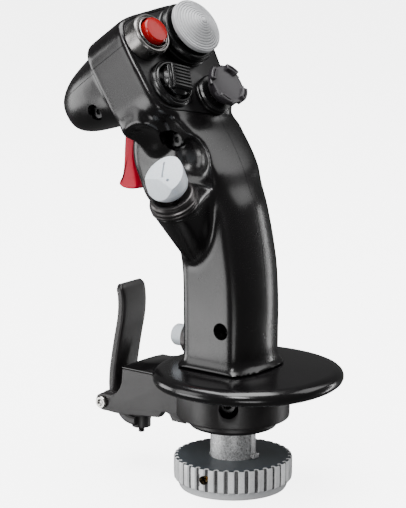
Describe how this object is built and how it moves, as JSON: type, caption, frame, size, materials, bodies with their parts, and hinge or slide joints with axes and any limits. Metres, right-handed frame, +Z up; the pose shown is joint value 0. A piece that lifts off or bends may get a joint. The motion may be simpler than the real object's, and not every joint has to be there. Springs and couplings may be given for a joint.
{
  "type": "flight joystick grip",
  "caption": "Hand grip with a thumb-switch head, trigger, hand rest, squeeze paddle and a plug base held by a ring nut.",
  "frame": {"origin": "centre of the plug's contact face, in the plane the ring nut stands on", "axes": "+Z up along the grip and the plug axis, +Y forward towards the trigger, +X to the pilot's right"},
  "size_m": [0.0908, 0.1391, 0.2259],
  "materials": {
    "shell_paint": "satin black, fine texture",
    "casting_paint": "satin black",
    "panel_paint": "satin black",
    "black_plastic": "satin",
    "gunmetal": "satin",
    "cast_silver": "cast and turned",
    "steel": "bright",
    "brass": "plain",
    "red_gloss": "gloss",
    "pink_red": "gloss",
    "grey_plastic": "satin",
    "pale_plastic": "satin",
    "board_green": "plain"
  },
  "bodies": {
    "grip": {"left_shell": "shell_paint", "right_shell": "shell_paint", "head_cover": "shell_paint", "case_screw_1": "steel", "case_screw_2": "steel", "case_screw_3": "steel", "face_panel": "panel_paint", "fire_bezel": "gunmetal", "fire_switch_body": "black_plastic", "trim_hat_ring": "black_plastic", "trim_hat_switch_body": "black_plastic", "castle_switch_collar": "black_plastic", "castle_switch_body": "black_plastic", "select_switch_ring": "black_plastic", "select_switch_body": "black_plastic", "side_switch_housing": "gunmetal", "trigger_axle": "steel", "trigger_microswitch": "black_plastic", "trigger_plunger": "steel", "front_button_bezel": "gunmetal", "front_button_body": "black_plastic", "hand_rest": "shell_paint", "base_casting": "casting_paint", "neck_ring": "casting_paint", "collar_set_screw": "steel", "paddle_hinge_pin": "steel", "lever_microswitch": "black_plastic", "lever_plunger": "brass", "connector_tube": "cast_silver", "connector_insulator": "black_plastic", "key_peg": "cast_silver", "circuit_board": "board_green", "board_connector": "black_plastic", "contact_pin_1": "brass", "contact_pin_2": "brass", "contact_pin_3": "brass", "contact_pin_4": "brass", "contact_pin_5": "brass"},
    "ring_nut": {"ring_nut": "cast_silver", "nut_grub_screw": "brass"},
    "trigger": {"trigger": "pink_red"},
    "fire_button": {"fire_button": "red_gloss"},
    "trim_cross": {"trim_hat_cross": "steel"},
    "trim_cap": {"trim_hat_cap": "grey_plastic"},
    "castle_cross": {"castle_switch_cross": "steel"},
    "castle_cap": {"castle_switch_cap": "black_plastic"},
    "select_cross": {"select_switch_cross": "steel"},
    "select_cap": {"select_switch_cap": "black_plastic"},
    "side_cross": {"side_switch_cross": "steel"},
    "side_knob": {"side_switch_knob": "pale_plastic"},
    "front_button": {"front_button_cap": "pale_plastic"},
    "paddle": {"paddle_lever": "casting_paint", "lever_adjust_screw": "steel", "lever_lock_nut": "black_plastic"}
  },
  "joints": [
    {"name": "ring_nut_spin", "type": "hinge", "parent": "grip", "child": "ring_nut", "pos_m": [0, 0, 0.01], "axis": [0, 0, 1], "continuous": true},
    {"name": "trigger_pull", "type": "hinge", "parent": "grip", "child": "trigger", "pos_m": [-0.003, 0.0535, 0.1696], "axis": [-1, 0, 0], "range_deg": [0, 11], "stiffness_Nm_per_rad": 0.35, "springref_deg": -14.32},
    {"name": "fire_press", "type": "slide", "parent": "grip", "child": "fire_button", "axis": [0.06, 0.8318, -0.5519], "range_m": [0, 0.0025], "stiffness_N_per_m": 900, "springref_m": -0.001},
    {"name": "trim_rock_x", "type": "hinge", "parent": "grip", "child": "trim_cross", "pos_m": [0.00093, 0.0266, 0.21067], "axis": [0.9982, -0.05, 0.0332], "range_deg": [-6, 6], "stiffness_Nm_per_rad": 0.12},
    {"name": "trim_rock_y", "type": "hinge", "parent": "trim_cross", "child": "trim_cap", "pos_m": [0.00093, 0.0266, 0.21067], "axis": [0, 0.5528, 0.8333], "range_deg": [-6, 6], "stiffness_Nm_per_rad": 0.12},
    {"name": "castle_rock_x", "type": "hinge", "parent": "grip", "child": "castle_cross", "pos_m": [0.0003, 0.01044, 0.18443], "axis": [0.9982, -0.05, 0.0332], "range_deg": [-6, 6], "stiffness_Nm_per_rad": 0.12},
    {"name": "castle_rock_y", "type": "hinge", "parent": "castle_cross", "child": "castle_cap", "pos_m": [0.0003, 0.01044, 0.18443], "axis": [0, 0.5528, 0.8333], "range_deg": [-6, 6], "stiffness_Nm_per_rad": 0.12},
    {"name": "select_rock_x", "type": "hinge", "parent": "grip", "child": "select_cross", "pos_m": [-0.0221, 0.01765, 0.19104], "axis": [0.9982, -0.05, 0.0332], "range_deg": [-5, 5], "stiffness_Nm_per_rad": 0.12},
    {"name": "select_rock_y", "type": "hinge", "parent": "select_cross", "child": "select_cap", "pos_m": [-0.0221, 0.01765, 0.19104], "axis": [0, 0.5528, 0.8333], "range_deg": [-5, 5], "stiffness_Nm_per_rad": 0.12},
    {"name": "side_rock_x", "type": "hinge", "parent": "grip", "child": "side_cross", "pos_m": [-0.03672, 0.00715, 0.14305], "axis": [-0.0312, 0.9983, 0.0489], "range_deg": [-6, 6], "stiffness_Nm_per_rad": 0.12},
    {"name": "side_rock_y", "type": "hinge", "parent": "side_cross", "child": "side_knob", "pos_m": [-0.03672, 0.00715, 0.14305], "axis": [-0.8431, 0, -0.5378], "range_deg": [-6, 6], "stiffness_Nm_per_rad": 0.12},
    {"name": "front_press", "type": "slide", "parent": "grip", "child": "front_button", "axis": [0, -1, 0], "range_m": [0, 0.0015], "stiffness_N_per_m": 700, "springref_m": -0.001},
    {"name": "paddle_squeeze", "type": "hinge", "parent": "grip", "child": "paddle", "pos_m": [0, 0.067, 0.032], "axis": [1, 0, 0], "range_deg": [0, 11], "stiffness_Nm_per_rad": 0.8, "springref_deg": -8.59}
  ]
}
